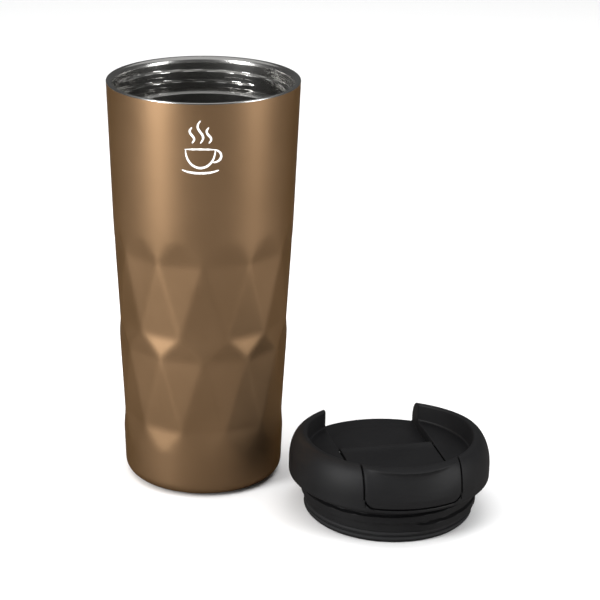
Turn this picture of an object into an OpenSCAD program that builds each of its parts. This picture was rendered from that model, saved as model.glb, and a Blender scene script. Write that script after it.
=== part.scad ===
// Insulated travel tumbler with a screw lid and a fold-back drinking flap.
// The tumbler stands on its foot pad at the origin, +Z up. The lid stands beside
// it on its own plug, with its thumb tab facing -Y. Millimetres and degrees.

/* [Tumbler body] */
// Height of the tumbler, from the table to the top of the lip
body_h = 177; // [148:1:214]
// Diameter of the body at the lip
rim_d = 81.3; // [68:0.1:98]
// Diameter that the body's taper would have at the table
base_d = 68.6; // [57:0.1:83]
// Radius of the rounded lower edge of the body
base_edge_r = 5; // [3:0.5:7]
// Thickness of the outer steel wall
shell_t = 0.8; // [0.5:0.1:1.2]
// Diameter of the opening in the shell's bottom that the foot pad fills
foot_recess_d = 52; // [40:1:54]
// How far the foot pad stands below the steel
foot_proud = 0.5; // [0.3:0.1:1]

/* [Facets] */
// Number of facet columns round the body
facet_columns = 12; // [8:1:16]
// Height of the highest full row of facet corners
facet_top_z = 106.7; // [98:0.1:112]
// Height of a tall row of facets
facet_tall = 33; // [27:0.5:36]
// Height of a short row of facets
facet_short = 10.1; // [8:0.1:13]
// Turn of the facet columns away from the front
facet_turn = -10.5; // [-15:0.5:15]

/* [Liner and mouth] */
// Thickness of the liner's steel wall
liner_t = 0.8; // [0.5:0.1:1]
// Width of the lip between the body's outside and the neck
lip_w = 3.05; // [2.6:0.05:4]
// Height of the rolled lip above the outer wall
lip_h = 0.6; // [0.6:0.1:2]
// Depth of the flare that leads into the neck
flare_depth = 2.6; // [1.8:0.1:3.2]
// Depth of the wide, threaded neck below the lip
neck_depth = 13.4; // [12.6:0.1:17]
// Height of the sloping seat under the neck
seat_h = 2; // [1.6:0.1:4]
// Depth of the straight wall under the seat
throat_depth = 6; // [5:0.5:10]
// Gap between the walls at the liner's foot
vacuum_gap = 2; // [1.2:0.1:4]
// Height of the liner's floor above the table
liner_floor_z = 7.8; // [7:0.1:12]
// Radius of the liner's lower corner
liner_corner_r = 7; // [4:0.5:10]

/* [Thread] */
// Rise of the thread in one turn
thread_pitch = 4.6; // [3.6:0.1:5.6]
// Turns of thread on the neck
neck_turns = 1.3; // [1:0.1:1.3]
// Angle from the front at which the neck's thread starts
neck_thread_start = 133; // [3:10:353]
// Height of a thread ridge
thread_h = 1.6; // [1:0.1:1.9]
// Radial clearance between a crest and the wall it faces
thread_clear = 0.5; // [0.3:0.1:0.8]

/* [Lid] */
// Gap between the tumbler and the lid that stands beside it
lid_gap = 5.4; // [3:0.1:60]
// Direction in which the lid stands, turned from the front towards +X
lid_bearing = 52.4; // [0:0.1:90]
// How far the collar stands out past the body's lip
collar_over = 1.75; // [0.5:0.05:3]
// How far the plug's foot reaches below the neck, down onto the sloping seat
plug_reach = 2; // [1.6:0.1:2.4]
// Height of the collar
collar_h = 17.9; // [16:0.1:22]
// Height of the collar's straight lower wall
collar_wall_h = 5.2; // [3:0.1:7]
// Width of the collar's ring, from outside to the inner wall
collar_ring_w = 7.4; // [6:0.1:9]
// Depth of the side platforms below the collar's top
platform_depth = 9.3; // [8:0.1:11]
// Depth of the channel floor below the side platforms
channel_depth = 4; // [3.8:0.1:5]
// Width of the channel that the flap lies in
channel_w = 41.6; // [34:0.1:50]
// Thickness of the deck
deck_t = 2; // [1.5:0.1:3]
// Thickness of the plug's wall
plug_wall_t = 2.2; // [1.6:0.1:3]
// Thickness of the cover that closes the plug from below
cover_t = 2; // [1.2:0.1:3]
// Thickness of the flat gasket under the collar
rim_gasket_t = 1.3; // [0.8:0.1:1.6]
// Height of the silicone band round the foot of the plug
band_h = 4.6; // [3.4:0.1:5]

/* [Flap] */
// Clearance round the flap, in the channel and behind the thumb tab
flap_gap = 0.5; // [0.4:0.05:0.8]
// Thickness of the flap's plate
plate_t = 2.4; // [1.8:0.1:2.8]
// Distance of the hinge behind the lid's centre
hinge_back = 4.8; // [4.6:0.1:9]
// Diameter of the hinge pin
pin_d = 2; // [1.6:0.1:2.2]
// Diameter of the knuckle barrel round the pin
barrel_d = 4; // [3.4:0.1:4.2]
// Length of the pin held in each platform
pin_hold = 4; // [3:0.5:8]
// Running clearance between the pin and the barrel, on the radius
pin_fit = 0.08; // [0.05:0.01:0.1]
// Height of the thumb tab's lower edge above the collar's lower edge
tab_foot = 2.1; // [1.8:0.1:4]
// Radius of the tab's lower corners
tab_corner_r = 4; // [2:0.5:6]
// Thickness of the tab below the plate
tab_t = 3.4; // [2.4:0.1:4]
// Depth of the thumb dish in the tab's face
dish_depth = 0.7; // [0.3:0.1:1]

/* [Spout] */
// Diameter of the drinking hole
spout_d = 13; // [9:0.5:14]
// Distance of the drinking hole in front of the lid's centre
spout_front = 26; // [25:0.5:27]
// Diameter of the vent hole
vent_d = 3; // [2:0.5:5]
// Distance of the vent hole in front of the lid's centre
vent_front = 11; // [8:0.5:14]
// Clearance round a stopper in its hole, on the radius
stopper_gap = 0.4; // [0.3:0.05:0.6]
// Wall of the tubes that carry the holes down through the plug
tube_t = 1.4; // [1:0.1:2]

/* [Hidden] */

$fn = 96;

STEEL = "silver";
BRONZE = [0.44, 0.34, 0.25];
BLACK = [0.13, 0.13, 0.14];
SILICONE = [0.2, 0.2, 0.21];
COPPER = [0.72, 0.45, 0.3];

// Radii at the mouth, from the lip inwards. The plug's band passes the neck's thread
// and lands on the sloping seat, which runs in under the plug by seat_w.
seat_w = 0.9;
band_clear = 0.25;
lip_edge_r = 0.5;
lip_flat = 0.35;
rim_r = rim_d / 2;
base_r = base_d / 2;
neck_r = rim_r - lip_w;
flare_w = lip_w - lip_edge_r - lip_flat;
plug_thread_r = neck_r - thread_clear;
plug_r = plug_thread_r - thread_h;
neck_thread_r = plug_r + thread_clear;
throat_r = plug_r - seat_w;
band_r = neck_thread_r - band_clear;

// Heights in the tumbler
lip_z = body_h - lip_h;
neck_foot_z = body_h - neck_depth;
throat_z = neck_foot_z - seat_h;
throat_foot_z = throat_z - throat_depth;

// The body's outer radius at height z
function body_r(z) = base_r + (rim_r - base_r) * z / body_h;

// Facet rows, from the top one that fades into the taper to the bottom one
facet_step = 360 / facet_columns;
facet_sag = rim_r * (1 - cos(facet_step / 2));
facet_z = [
    facet_top_z + facet_short,
    facet_top_z,
    facet_top_z - facet_tall,
    facet_top_z - facet_tall - facet_short,
    facet_top_z - 2 * facet_tall - facet_short,
    facet_top_z - 2 * facet_tall - 2 * facet_short
];
arc_steps = 8;
facet_step_in = 0.03;
join_h = 4;

// The liner's inner radius at its foot, and along its taper
liner_foot_r = body_r(liner_floor_z) - shell_t - facet_sag - vacuum_gap - liner_t;
function liner_r(z) =
    liner_foot_r + (throat_r - liner_foot_r) * (z - liner_floor_z) / (throat_foot_z - liner_floor_z);

// The pieces in the vacuum gap under the liner
getter_r = 4;
getter_h = 1.4;
getter_wall = 0.6;
seal_hole_r = 1;
dimple_r = 4;
foil_t = 0.2;
foil_gap = 0.15;
foil_foot_z = liner_floor_z + liner_corner_r + 3;

// Radii and heights in the lid, above its own foot
plug_foot_lip = 0.6;
foot_clear = 0.1;
groove_depth = 1.2;
plug_h = neck_depth + plug_reach + rim_gasket_t;
collar_r = rim_r + collar_over;
collar_in_r = collar_r - collar_ring_w;
collar_top_z = plug_h + collar_h;
platform_z = collar_top_z - platform_depth;
channel_z = platform_z - channel_depth;
deck_z = channel_z - deck_t;
dome_z = plug_h + collar_wall_h;
collar_lip_r = 0.9;
dome_in_r = collar_in_r + collar_lip_r;
collar_edge_r = 0.8;
channel_half = channel_w / 2;
bore_in_r = plug_r - plug_wall_t;
groove_r = plug_r - groove_depth;
band_top_z = plug_foot_lip + band_h;
lid_away = rim_r + collar_r + lid_gap;
lid_x = lid_away * sin(lid_bearing);
lid_front = lid_away * cos(lid_bearing);

// Flap and hinge
flap_half = channel_half - flap_gap;
hinge_z = channel_z + barrel_d / 2 + 0.3;
tab_foot_z = plug_h + tab_foot;
tab_in_r = collar_r - tab_t;
deck_front_r = tab_in_r - flap_gap;
plate_z = platform_z - plate_t;
dish_r = 34;
stopper_flange_w = 1.6;
far = 200;

// Threads: ridge widths at the root and the crest, and segments in one turn. The
// plug's thread fills the wall between its band and the flat gasket.
ridge_root = 2.4;
ridge_crest = 1;
turn_steps = 36;
run_in = 4;
blunt_start = 0.4;
thread_end_gap = 0.2;
plug_thread_z = band_top_z + thread_end_gap + ridge_root / 2;
plug_thread_top_z = plug_h - rim_gasket_t - thread_end_gap - ridge_root / 2;
plug_turns = (plug_thread_top_z - plug_thread_z) / thread_pitch;
neck_thread_z = neck_foot_z + ridge_root / 2 + thread_end_gap;

// Points of an arc, from angle a0 to angle a1
function arc(cx, cy, rx, ry, a0, a1, n) =
    [for (i = [0 : n]) let (a = a0 + (a1 - a0) * i / n) [cx + rx * cos(a), cy + ry * sin(a)]];

function ring_point(r, a, z) = [r * sin(a), -r * cos(a), z];

module at_lid() {
    translate([lid_x, -lid_front, 0]) children();
}

// ---- Shapes that several pieces share ----

// A helical ridge on a wall of radius wall_r, standing out to crest_r. It starts and
// ends at part of its height. The root is buried in the wall by 'bury'.
module thread_ridge(wall_r, crest_r, pitch, turns, z0) {
    n = round(turns * turn_steps);
    bury = 0.3 * sign(wall_r - crest_r);
    function height(i) = min(1, blunt_start + min(i, n - i) / run_in);
    function crest(i) = wall_r + (crest_r - wall_r) * height(i);
    points = [
        for (i = [0 : n])
            let (a = 360 * i / turn_steps, z = z0 + pitch * i / turn_steps)
                for (p = [
                    [wall_r + bury, -ridge_root / 2],
                    [crest(i), -ridge_crest / 2],
                    [crest(i), ridge_crest / 2],
                    [wall_r + bury, ridge_root / 2]
                ])
                    ring_point(p[0], a, z + p[1])
    ];
    sides = [
        for (i = [0 : n - 1], k = [0 : 3])
            [4 * i + k, 4 * i + (k + 1) % 4, 4 * i + 4 + (k + 1) % 4, 4 * i + 4 + k]
    ];
    ends = [[3, 2, 1, 0], [4 * n, 4 * n + 1, 4 * n + 2, 4 * n + 3]];
    faces = concat(sides, ends);
    turned = [for (f = faces) [for (k = [len(f) - 1 : -1 : 0]) f[k]]];
    polyhedron(points, crest_r > wall_r ? faces : turned, 6);
}

// The band of flat facets. Every corner lies a hair inside the body's taper, and each
// row is turned half a column against the next. The end rows fan into a circle.
module facet_band() {
    c = facet_columns;
    m = c * arc_steps;
    rows = len(facet_z);
    function corner(row, k) =
        ring_point(
            body_r(facet_z[row]) - facet_step_in,
            facet_turn + facet_step * (k + (row % 2 == 0 ? 0.5 : 0)),
            facet_z[row]
        );
    function circle_at(row) =
        [for (k = [0 : m - 1])
            ring_point(
                body_r(facet_z[row]) - facet_step_in,
                facet_turn + facet_step * (k / arc_steps + (row % 2 == 0 ? 0.5 : 0)),
                facet_z[row]
            )];
    inner = [for (row = [1 : rows - 2], k = [0 : c - 1]) corner(row, k)];
    low = m + (rows - 2) * c;
    top_centre = low + m;
    low_centre = top_centre + 1;
    points = concat(
        circle_at(0), inner, circle_at(rows - 1), [[0, 0, facet_z[0]], [0, 0, facet_z[rows - 1]]]
    );
    function at(row, k) = m + (row - 1) * c + (k + c) % c;
    top_cap = [for (k = [0 : m - 1]) [top_centre, k, (k + 1) % m]];
    bottom_cap = [for (k = [0 : m - 1]) [low_centre, low + (k + 1) % m, low + k]];
    top_flats = [for (k = [0 : c - 1]) [k * arc_steps, at(1, k), at(1, k + 1)]];
    top_fans = [for (k = [0 : c - 1], j = [0 : arc_steps - 1])
        [((k - 1) * arc_steps + j + m) % m, at(1, k), ((k - 1) * arc_steps + j + 1 + m) % m]];
    half = [for (row = [1 : rows - 3], k = [0 : c - 1])
        row % 2 == 1
            ? [at(row, k), at(row + 1, k), at(row, k + 1)]
            : [at(row, k), at(row + 1, k + 1), at(row, k + 1)]];
    other = [for (row = [1 : rows - 3], k = [0 : c - 1])
        row % 2 == 1
            ? [at(row, k + 1), at(row + 1, k), at(row + 1, k + 1)]
            : [at(row, k), at(row + 1, k), at(row + 1, k + 1)]];
    last = rows - 2;
    low_flats = [for (k = [0 : c - 1]) [at(last, k), low + ((k + 1) % c) * arc_steps, at(last, k + 1)]];
    low_fans = [for (k = [0 : c - 1], j = [0 : arc_steps - 1])
        [at(last, k), low + (k * arc_steps + j) % m, low + (k * arc_steps + j + 1) % m]];
    faces = concat(top_cap, bottom_cap, top_flats, top_fans, half, other, low_flats, low_fans);
    clockwise = [for (f = faces) [f[2], f[1], f[0]]];
    polyhedron(points, clockwise, 6);
}

// The collar's outline: rounded lower edge, straight wall, dome and inner lip
function collar_outside() = concat(
    arc(collar_r - collar_edge_r, plug_h + collar_edge_r, collar_edge_r, collar_edge_r, -90, 0, 4),
    arc(dome_in_r, dome_z, collar_r - dome_in_r, collar_top_z - dome_z, 0, 90, 14),
    arc(dome_in_r, collar_top_z - collar_lip_r, collar_lip_r, collar_lip_r, 90, 180, 4)
);

// The tab's outline seen from the front, grown by 'grow'
module tab_outline(grow) {
    half = flap_half + grow;
    foot = tab_foot_z - grow;
    r = tab_corner_r + grow;
    translate([-half + r, foot]) square([2 * (half - r), far]);
    translate([-half, foot + r]) square([2 * half, far]);
    for (side = [-1, 1]) translate([side * (half - r), foot + r]) circle(r);
}

// The tab's outline as a block that reaches forward from the lid's centre
module tab_block(grow) {
    rotate([90, 0, 0]) linear_extrude(collar_r + 5) tab_outline(grow);
}

module cross_bar(r, half_length) {
    translate([-half_length, hinge_back, hinge_z]) rotate([0, 90, 0]) cylinder(r = r, h = 2 * half_length);
}

// ---- Tumbler ----

module outer_shell() {
    top = facet_z[0];
    foot = facet_z[len(facet_z) - 1];
    edge_z = foot_proud + base_edge_r;
    color(BRONZE) difference() {
        union() {
            facet_band();
            rotate_extrude() polygon([
                [0, top], [body_r(top), top], [body_r(lip_z), lip_z], [0, lip_z]
            ]);
            rotate_extrude() polygon(concat(
                [[0, foot_proud]],
                arc(body_r(edge_z) - base_edge_r, edge_z, base_edge_r, base_edge_r, -90, 0, 8),
                [[body_r(foot), foot], [0, foot]]
            ));
        }
        rotate_extrude() polygon(concat(
            [[0, foot_proud + shell_t]],
            arc(
                body_r(edge_z) - base_edge_r, edge_z,
                base_edge_r - shell_t, base_edge_r - shell_t, -90, 0, 8
            ),
            [
                [body_r(foot - join_h) - shell_t, foot - join_h],
                [body_r(foot) - shell_t - facet_sag, foot],
                [body_r(top) - shell_t - facet_sag, top],
                [body_r(top + join_h) - shell_t, top + join_h],
                [body_r(lip_z + 1) - shell_t, lip_z + 1],
                [0, lip_z + 1]
            ]
        ));
        cylinder(d = foot_recess_d, h = far, center = true);
    }
}

// Disc welded on the shell's inner edge, with the dimple where the air was drawn out
module outer_base() {
    seat_z = foot_proud + shell_t;
    color(STEEL) difference() {
        union() {
            translate([0, 0, seat_z]) cylinder(r = foot_recess_d / 2 + 1.5, h = shell_t);
            translate([0, 0, seat_z])
                cylinder(r1 = dimple_r + shell_t, r2 = dimple_r / 2 + shell_t, h = 2 * shell_t);
        }
        translate([0, 0, seat_z - shell_t]) cylinder(r1 = dimple_r + 1, r2 = dimple_r / 2, h = 2 * shell_t);
        cylinder(r = seal_hole_r, h = far);
    }
}

// Bead that closes the hole in the dimple
module vacuum_seal() {
    color("gray") union() {
        translate([0, 0, foot_proud + 1.4 * shell_t]) cylinder(r = 1.8 * seal_hole_r, h = 0.6 * shell_t);
        translate([0, 0, foot_proud + 2 * shell_t]) cylinder(r = seal_hole_r, h = shell_t);
    }
}

module foot_pad() {
    pad_r = foot_recess_d / 2;
    edge = 0.4;
    color(SILICONE) rotate_extrude() polygon(concat(
        [[0, 0]],
        arc(pad_r - edge, edge, edge, edge, -90, 0, 4),
        [[pad_r, foot_proud + shell_t], [0, foot_proud + shell_t]]
    ));
}

// Pressed cup under the liner's floor that holds the getter
module getter_cup() {
    cup_h = getter_h + getter_wall;
    color(STEEL) translate([0, 0, liner_floor_z - liner_t - cup_h]) difference() {
        cylinder(r = getter_r + getter_wall, h = cup_h);
        translate([0, 0, getter_wall]) cylinder(r = getter_r, h = cup_h);
        cylinder(r = getter_r - 1.2, h = far, center = true);
    }
}

module getter() {
    color("dimgray") translate([0, 0, liner_floor_z - liner_t - getter_h])
        cylinder(r = getter_r, h = getter_h);
}

// Thin foil wrapped round the liner's taper
module foil_shield() {
    z0 = foil_foot_z;
    z1 = throat_foot_z - 6;
    in0 = liner_r(z0) + liner_t + foil_gap;
    in1 = liner_r(z1) + liner_t + foil_gap;
    color(COPPER) rotate_extrude() polygon([
        [in0, z0], [in0 + foil_t, z0], [in1 + foil_t, z1], [in1, z1]
    ]);
}

module inner_liner() {
    floor_r = liner_foot_r - liner_corner_r;
    corner_z = liner_floor_z + liner_corner_r;
    outer_corner = liner_corner_r + liner_t;
    foot_in_r = liner_r(corner_z);
    color(STEEL) union() {
        rotate_extrude() polygon(concat(
            [[floor_r, liner_floor_z - liner_t]],
            arc(foot_in_r - liner_corner_r, corner_z, outer_corner, outer_corner, -90, 0, 8),
            [
                [throat_r + liner_t, throat_foot_z],
                [throat_r + liner_t, throat_z - 0.4],
                [neck_r + liner_t, neck_foot_z - 0.4],
                [neck_r + liner_t, lip_z],
                [body_r(lip_z), lip_z]
            ],
            arc(body_r(lip_z) - lip_edge_r, body_h - lip_edge_r, lip_edge_r, lip_edge_r, 0, 90, 5),
            arc(neck_r + flare_w, body_h - flare_depth, flare_w, flare_depth, 90, 180, 8),
            [
                [neck_r, neck_foot_z],
                [throat_r, throat_z],
                [throat_r, throat_foot_z]
            ],
            arc(foot_in_r - liner_corner_r, corner_z, liner_corner_r, liner_corner_r, 0, -90, 8),
            [[floor_r, liner_floor_z]]
        ));
        rotate(neck_thread_start)
            thread_ridge(neck_r, neck_thread_r, thread_pitch, neck_turns, neck_thread_z);
    }
}

module liner_floor() {
    color(STEEL) translate([0, 0, liner_floor_z - liner_t])
        cylinder(r = liner_foot_r - liner_corner_r, h = liner_t);
}

// ---- Lid ----

// Grip collar and deck in one moulding, with the channel, notch and tab opening
module lid_collar() {
    color(BLACK) at_lid() difference() {
        rotate_extrude() polygon(concat(
            [[0, deck_z], [plug_r, deck_z], [plug_r, plug_h]],
            collar_outside(),
            [[collar_in_r, platform_z], [0, platform_z]]
        ));
        translate([-channel_half, -far, channel_z]) cube([channel_w, 2 * far, far]);
        difference() {
            tab_block(flap_gap);
            cylinder(r = deck_front_r, h = far);
        }
        translate([0, -spout_front, 0]) cylinder(d = spout_d, h = far);
        translate([0, -vent_front, 0]) cylinder(d = vent_d, h = far);
        cross_bar(pin_d / 2, channel_half + pin_hold);
    }
}

// Threaded cup under the deck
module lid_plug() {
    chamfer = 0.4;
    color(BLACK) at_lid() union() {
        rotate_extrude() polygon([
            [bore_in_r, 0], [throat_r - foot_clear, 0], [plug_r - chamfer, plug_foot_lip],
            [groove_r, plug_foot_lip], [groove_r, band_top_z], [plug_r, band_top_z],
            [plug_r, deck_z], [bore_in_r, deck_z]
        ]);
        thread_ridge(plug_r, plug_thread_r, thread_pitch, plug_turns, plug_thread_z);
    }
}

// Cover that closes the plug from below, with the tubes of the two holes. A tube that
// reaches the plug's wall is trimmed by it.
module plug_cover() {
    cover_z = 1;
    tube_h = deck_z - cover_z;
    color(BLACK) at_lid() difference() {
        intersection() {
            translate([0, 0, cover_z]) union() {
                cylinder(r = bore_in_r, h = cover_t);
                translate([0, -spout_front, 0]) cylinder(d = spout_d + 2 * tube_t, h = tube_h);
                translate([0, -vent_front, 0]) cylinder(d = vent_d + 2 * tube_t, h = tube_h);
            }
            cylinder(r = bore_in_r, h = deck_z);
        }
        translate([0, -spout_front, 0]) cylinder(d = spout_d, h = far);
        translate([0, -vent_front, 0]) cylinder(d = vent_d, h = far);
    }
}

// Flat ring under the collar that meets the tumbler's lip
module rim_gasket() {
    edge = 0.4;
    gasket_r = rim_r - 1.5;
    color(SILICONE) at_lid() translate([0, 0, plug_h - rim_gasket_t]) rotate_extrude() polygon([
        [plug_r, 0], [gasket_r - edge, 0], [gasket_r, edge], [gasket_r, rim_gasket_t],
        [plug_r, rim_gasket_t]
    ]);
}

// Band with two lips round the foot of the plug
module plug_gasket() {
    waist_r = band_r - 0.5;
    color(SILICONE) at_lid() translate([0, 0, plug_foot_lip]) rotate_extrude() polygon([
        [groove_r, 0], [waist_r, 0], [band_r, 0.16 * band_h], [band_r, 0.3 * band_h],
        [waist_r, 0.42 * band_h], [waist_r, 0.58 * band_h], [band_r, 0.7 * band_h],
        [band_r, 0.84 * band_h], [waist_r, band_h], [groove_r, band_h]
    ]);
}

module hinge_pin() {
    color(STEEL) at_lid() cross_bar(pin_d / 2, channel_half + pin_hold);
}

// ---- Flap ----

// Plate, knuckle barrel and thumb tab in one moulding
module flap() {
    color(BLACK) at_lid() difference() {
        union() {
            intersection() {
                translate([-flap_half, -far, plate_z]) cube([2 * flap_half, far + hinge_back, plate_t]);
                cylinder(r = tab_in_r + 1, h = far);
            }
            cross_bar(barrel_d / 2, flap_half);
            intersection() {
                tab_block(0);
                rotate_extrude() polygon(concat(
                    [[tab_in_r, plug_h]],
                    collar_outside(),
                    [[collar_in_r, plate_z], [tab_in_r, plate_z]]
                ));
            }
        }
        cross_bar(pin_d / 2 + pin_fit, far);
        translate([0, -(collar_r + dish_r - dish_depth), plug_h + 0.55 * collar_h]) sphere(dish_r);
    }
}

// Stopper under the plate: a flange on the deck and a nose in the hole
module stopper(hole_d, front) {
    nose_r = hole_d / 2 - stopper_gap;
    seat_z = channel_z + 0.15;
    nose_h = 1.4;
    flange_r = hole_d / 2 + stopper_flange_w;
    color(SILICONE) at_lid() translate([0, -front, 0]) rotate_extrude() polygon([
        [0, seat_z - nose_h], [nose_r - 0.5, seat_z - nose_h], [nose_r, seat_z],
        [flange_r - 0.4, seat_z], [flange_r, plate_z], [0, plate_z]
    ]);
}

module spout_stopper() {
    stopper(spout_d, spout_front);
}

module vent_stopper() {
    stopper(vent_d, vent_front);
}

outer_shell();
outer_base();
foot_pad();
vacuum_seal();
getter();
getter_cup();
foil_shield();
inner_liner();
liner_floor();
lid_collar();
lid_plug();
plug_cover();
rim_gasket();
plug_gasket();
hinge_pin();
flap();
spout_stopper();
vent_stopper();
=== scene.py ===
# %% [markdown]
# # An insulated tumbler and its screw lid
#
# The real object is two loose things. The tumbler is a double-wall steel cup, and the lid
# is a black moulding with a drinking flap. The CAD model already holds every piece and its
# place, so this file only replaces what shows by finer meshes and gives each piece a finish.
# Everything below is in metres, in the frame of the CAD model. Sizes are written in
# millimetres, and one helper scales them when it makes a mesh.

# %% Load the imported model
import math

import bmesh
import bpy
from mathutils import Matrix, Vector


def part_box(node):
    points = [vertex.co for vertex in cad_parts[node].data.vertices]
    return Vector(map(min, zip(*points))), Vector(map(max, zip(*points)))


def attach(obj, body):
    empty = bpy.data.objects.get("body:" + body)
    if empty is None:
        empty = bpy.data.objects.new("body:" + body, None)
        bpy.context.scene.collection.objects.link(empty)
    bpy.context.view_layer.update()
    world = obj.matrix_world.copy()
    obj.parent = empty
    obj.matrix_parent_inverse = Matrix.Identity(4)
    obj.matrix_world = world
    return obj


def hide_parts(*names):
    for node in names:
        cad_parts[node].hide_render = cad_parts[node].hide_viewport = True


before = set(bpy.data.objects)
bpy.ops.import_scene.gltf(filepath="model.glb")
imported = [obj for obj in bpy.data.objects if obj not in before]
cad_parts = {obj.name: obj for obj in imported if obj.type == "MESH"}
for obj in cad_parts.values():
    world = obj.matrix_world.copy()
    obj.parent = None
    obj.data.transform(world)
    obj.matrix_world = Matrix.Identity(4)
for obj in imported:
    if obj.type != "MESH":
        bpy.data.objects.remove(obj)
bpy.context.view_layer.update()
MM = 0.001

# %% [markdown]
# ## Places
#
# A finer piece has to sit exactly where its CAD node sits. The node boxes say where that
# is, so the lid's centre, the lip's height and the outer radii are read from there. What a
# box doesn't show, such as a wall or a thread, is typed in as the CAD source has it.

# %% Read the places from the node boxes
def box_mm(node):
    low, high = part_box(node)
    return [v / MM for v in low], [v / MM for v in high]


shell_low, shell_high = box_mm("outer_shell")
_, liner_high = box_mm("inner_liner")
_, floor_high = box_mm("liner_floor")
collar_low, collar_high = box_mm("lid_collar")
flap_low, _ = box_mm("flap")
_, pad_high = box_mm("foot_pad")
pin_low, pin_high = box_mm("hinge_pin")

LIP_TOP = liner_high[2]
SHELL_TOP = shell_high[2]
LID_X = (collar_low[0] + collar_high[0]) / 2
LID_Y = (collar_low[1] + collar_high[1]) / 2
COLLAR_R = (collar_high[0] - collar_low[0]) / 2
COLLAR_FOOT = collar_low[2]
COLLAR_TOP = collar_high[2]
PIN_Y = (pin_low[1] + pin_high[1]) / 2 - LID_Y
PIN_Z = (pin_low[2] + pin_high[2]) / 2
print(f"lid centre {LID_X:.2f}, {LID_Y:.2f}; collar radius {COLLAR_R:.2f}; lip top {LIP_TOP:.1f}")
print(f"collar from {COLLAR_FOOT:.2f} to {COLLAR_TOP:.2f}; pin at {PIN_Y:.2f}, {PIN_Z:.2f}")

# %% [markdown]
# ## Camera
#
# A long lens from a little above the table keeps the tumbler's sides almost parallel. The
# tumbler stands left of the middle, so the lens is shifted sideways and not turned, which
# keeps the upright lines upright. The camera comes before the pieces, so that every later
# step can be looked at.

# %% Make the camera
CAMERA_BEARING = -10.5
CAMERA_DISTANCE = 788.4
CAMERA_HEIGHT = 375.3
CAMERA_PITCH = 20.63
LENS = 116.53
SHIFT_RIGHT = 0.161

camera_data = bpy.data.cameras.new("camera")
camera_data.lens = LENS
camera_data.shift_x = SHIFT_RIGHT
camera = bpy.data.objects.new("camera", camera_data)
bearing = math.radians(CAMERA_BEARING)
camera.location = (
    CAMERA_DISTANCE * MM * math.sin(bearing),
    -CAMERA_DISTANCE * MM * math.cos(bearing),
    CAMERA_HEIGHT * MM,
)
camera.rotation_euler = (math.radians(90 - CAMERA_PITCH), 0, bearing)
bpy.context.scene.collection.objects.link(camera)
bpy.context.scene.camera = camera
print("camera at", [round(v, 3) for v in camera.location])

# %% [markdown]
# ## Mesh helpers
#
# Nearly every piece here is either turned on an axis or lofted through a row of outlines.
# Both are a grid of points with faces between neighbours. Writing the grid out, and joining
# points that fall together, keeps every mesh closed and evenly divided, which a boolean cut
# would not. A bevel needs that.

# %% Helpers that make closed meshes
def arc(cx, cy, rx, ry, start, end, steps):
    """Points of an arc, as (x, y), from angle start to angle end in degrees."""
    angles = [math.radians(start + (end - start) * i / steps) for i in range(steps + 1)]
    return [(cx + rx * math.cos(a), cy + ry * math.sin(a)) for a in angles]


def spread(start, end, steps):
    """Evenly spaced values, both ends included."""
    return [start + (end - start) * i / steps for i in range(steps + 1)]


class Skin:
    """Points in millimetres, joined where they fall together, and the faces between them."""

    def __init__(self):
        self.points = []
        self.index = {}
        self.faces = []

    def add(self, point):
        key = tuple(round(v, 4) for v in point)
        if key not in self.index:
            self.index[key] = len(self.points)
            self.points.append(key)
        return self.index[key]

    def face(self, corners):
        ring = []
        for point in corners:
            i = self.add(point)
            if i not in ring:
                ring.append(i)
        if len(ring) > 2:
            self.faces.append(ring)

    def loft(self, outlines, closed_outline=True, closed_row=True):
        """Faces between each outline and the next one."""
        count = len(outlines)
        size = len(outlines[0])
        for k in range(count if closed_row else count - 1):
            a, b = outlines[k], outlines[(k + 1) % count]
            for i in range(size if closed_outline else size - 1):
                j = (i + 1) % size
                self.face([a[i], b[i], b[j], a[j]])


def plain_object(name, skin):
    """The skin as an object in metres, with its faces turned outwards."""
    mesh = bpy.data.meshes.new(name)
    mesh.from_pydata([[v * MM for v in p] for p in skin.points], [], skin.faces)
    work = bmesh.new()
    work.from_mesh(mesh)
    bmesh.ops.recalc_face_normals(work, faces=work.faces[:])
    work.to_mesh(mesh)
    work.free()
    thing = bpy.data.objects.new(name, mesh)
    bpy.context.scene.collection.objects.link(thing)
    return thing


def as_piece(name, skin, body, replaced, finish, sharp=40):
    """A mesh object that rides on a body, stands for CAD nodes and shades smooth."""
    piece = plain_object(name, skin)
    mesh = piece.data
    mesh.shade_smooth()
    mesh.set_sharp_from_angle(angle=math.radians(sharp))
    mesh.materials.append(finish)
    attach(piece, body)
    if replaced:
        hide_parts(*replaced)
    print(f"{name}: {len(mesh.vertices)} points, {len(mesh.polygons)} faces")
    return piece


def round_edges(piece, width, from_r=0, segments=3, angle=38):
    """A live bevel on the edges that are sharper than the angle.

    Edges within from_r millimetres of the lid's centre line stay as they are."""
    work = bmesh.new()
    work.from_mesh(piece.data)
    weight = work.edges.layers.float.new("bevel_weight_edge")
    for edge in work.edges:
        x, y, _ = (edge.verts[0].co + edge.verts[1].co) / 2
        out = math.hypot(x / MM - LID_X, y / MM - LID_Y) > from_r
        sharp = len(edge.link_faces) == 2 and edge.calc_face_angle() > math.radians(angle)
        edge[weight] = 1.0 if out and sharp else 0.0
    work.to_mesh(piece.data)
    work.free()
    bevel = piece.modifiers.new("rounded_edges", "BEVEL")
    bevel.width = width * MM
    bevel.segments = segments
    bevel.limit_method = "WEIGHT"
    bevel.use_clamp_overlap = False
    bevel.miter_outer = "MITER_ARC"


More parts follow.
